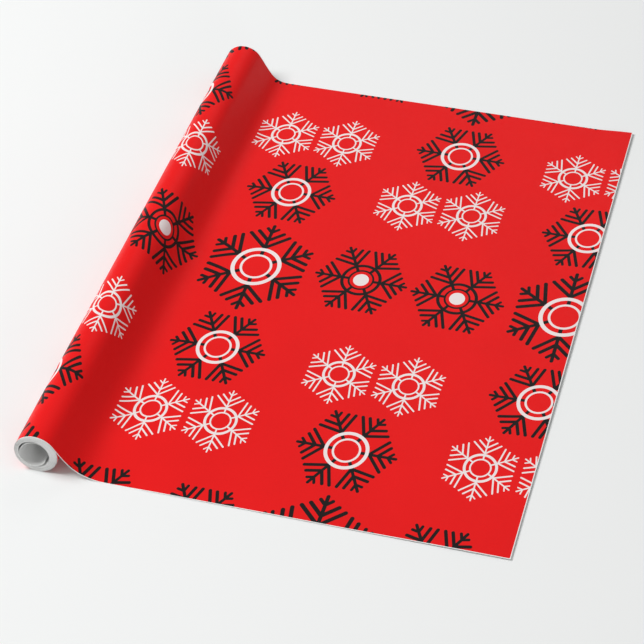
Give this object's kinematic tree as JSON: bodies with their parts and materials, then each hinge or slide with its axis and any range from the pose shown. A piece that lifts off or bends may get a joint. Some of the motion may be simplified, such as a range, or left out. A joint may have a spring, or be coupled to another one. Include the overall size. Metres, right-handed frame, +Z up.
{
  "type": "wrapping paper roll",
  "caption": "Coreless roll of printed gift wrap, partly unrolled: the sheet curves down off the roll and lies flat to a straight free edge.",
  "frame": {"origin": "on the table, under the middle of the whole object's box", "axes": "+Y along the roll, +X from the roll to the sheet's free edge, +Z up"},
  "size_m": [0.5332, 0.762, 0.0483],
  "materials": {
    "printed_paper": "printed face of gift wrap: red ground with black and white snowflakes, smooth with a soft sheen",
    "paper_back": "unprinted white back and cut edges of the same paper, matt"
  },
  "bodies": {
    "paper_path": {"outer_turn": "printed_paper", "lead": "printed_paper"},
    "roll": {"wound_coil": "paper_back", "inner_turns": "paper_back"},
    "sheet": {"flat_sheet": "printed_paper"}
  },
  "joints": [
    {"name": "roll_turn", "type": "hinge", "parent": "paper_path", "child": "roll", "pos_m": [-0.24241, 0, 0.02397], "axis": [0, 1, 0], "range_deg": [0, 360]},
    {"name": "pay_out", "type": "slide", "parent": "paper_path", "child": "sheet", "axis": [1, 0, 0], "range_m": [0, 0.1524]}
  ],
  "couplings": [
    {"joint": "pay_out", "follows": "roll_turn", "m_per_rad": 0.02425}
  ]
}
